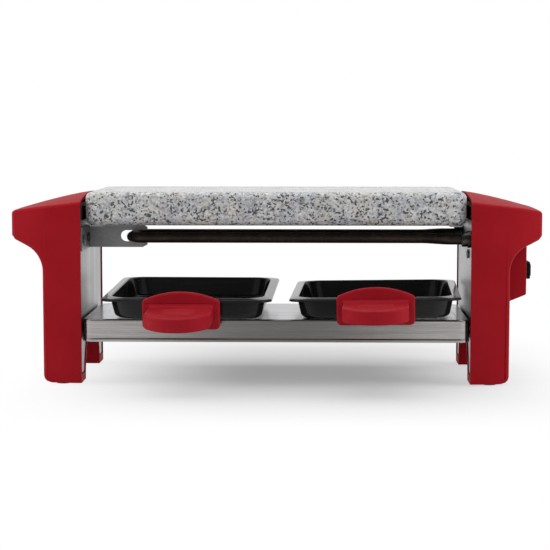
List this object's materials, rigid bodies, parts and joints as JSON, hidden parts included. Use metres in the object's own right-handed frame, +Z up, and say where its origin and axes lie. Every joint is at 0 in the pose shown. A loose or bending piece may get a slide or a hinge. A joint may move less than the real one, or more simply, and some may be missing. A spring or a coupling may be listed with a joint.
{
  "type": "raclette grill",
  "caption": "Small countertop raclette grill: granite cooking stone over a hairpin element, two drawn pans with red handles, red arch-legged end housings, rocker switch.",
  "frame": {"origin": "middle of the footprint on the table", "axes": "+X towards the switch end, -Y towards the pan handles and the user, +Z up"},
  "size_m": [0.3226, 0.1519, 0.1162],
  "materials": {
    "red_plastic": "satin moulding",
    "black_plastic": "fine texture",
    "stainless": "brushed",
    "dull_steel": "dulled by heat",
    "heated_steel": "dark heat oxide",
    "granite": "polished",
    "nonstick": "low sheen non-stick coating",
    "rubber": "matte",
    "brass": "plain",
    "ceramic": "unglazed",
    "lead_sleeve": "silicone sleeve"
  },
  "bodies": {
    "frame": {"block_screw": "stainless", "bracket_screw_front": "stainless", "bracket_screw_rear": "stainless", "cord_gland": "rubber", "element_bracket": "dull_steel", "element_bush_front": "dull_steel", "element_bush_rear": "dull_steel", "element_nut_front": "brass", "element_nut_rear": "brass", "foot_left_front": "rubber", "foot_left_rear": "rubber", "foot_right_front": "rubber", "foot_right_rear": "rubber", "heating_element": "heated_steel", "lead_heater": "lead_sleeve", "lead_return": "lead_sleeve", "lead_supply": "lead_sleeve", "lead_switched": "lead_sleeve", "left_housing": "red_plastic", "left_side_plate": "stainless", "plate_screw": "stainless", "right_housing": "red_plastic", "right_side_plate": "stainless", "switch_body": "black_plastic", "switch_tab_lower": "brass", "switch_tab_upper": "brass", "terminal_bead_front": "ceramic", "terminal_bead_rear": "ceramic", "terminal_block": "ceramic", "terminal_pin_front": "stainless", "terminal_pin_rear": "stainless", "thermal_cutout": "ceramic", "tray": "stainless", "tray_screw_left_front": "stainless", "tray_screw_left_rear": "stainless", "tray_screw_right_front": "stainless", "tray_screw_right_rear": "stainless"},
    "rocker": {"switch_rocker": "black_plastic"},
    "stone": {"cooking_stone": "granite"},
    "left_pan": {"pan_left_dish": "nonstick", "pan_left_handle": "red_plastic", "pan_left_screw": "stainless", "pan_left_tang": "stainless"},
    "right_pan": {"pan_right_dish": "nonstick", "pan_right_handle": "red_plastic", "pan_right_screw": "stainless", "pan_right_tang": "stainless"}
  },
  "joints": [
    {"name": "rocker_turn", "type": "hinge", "parent": "frame", "child": "rocker", "pos_m": [0.154, 0.02405, 0.066], "axis": [0, 0, 1], "range_deg": [-24, 0]},
    {"name": "stone_lift", "type": "slide", "parent": "frame", "child": "stone", "axis": [0, 0, 1], "range_m": [0, 0.05]},
    {"name": "left_pan_slide", "type": "slide", "parent": "frame", "child": "left_pan", "axis": [0, -1, 0], "range_m": [0, 0.115]},
    {"name": "right_pan_slide", "type": "slide", "parent": "frame", "child": "right_pan", "axis": [0, -1, 0], "range_m": [0, 0.115]}
  ]
}
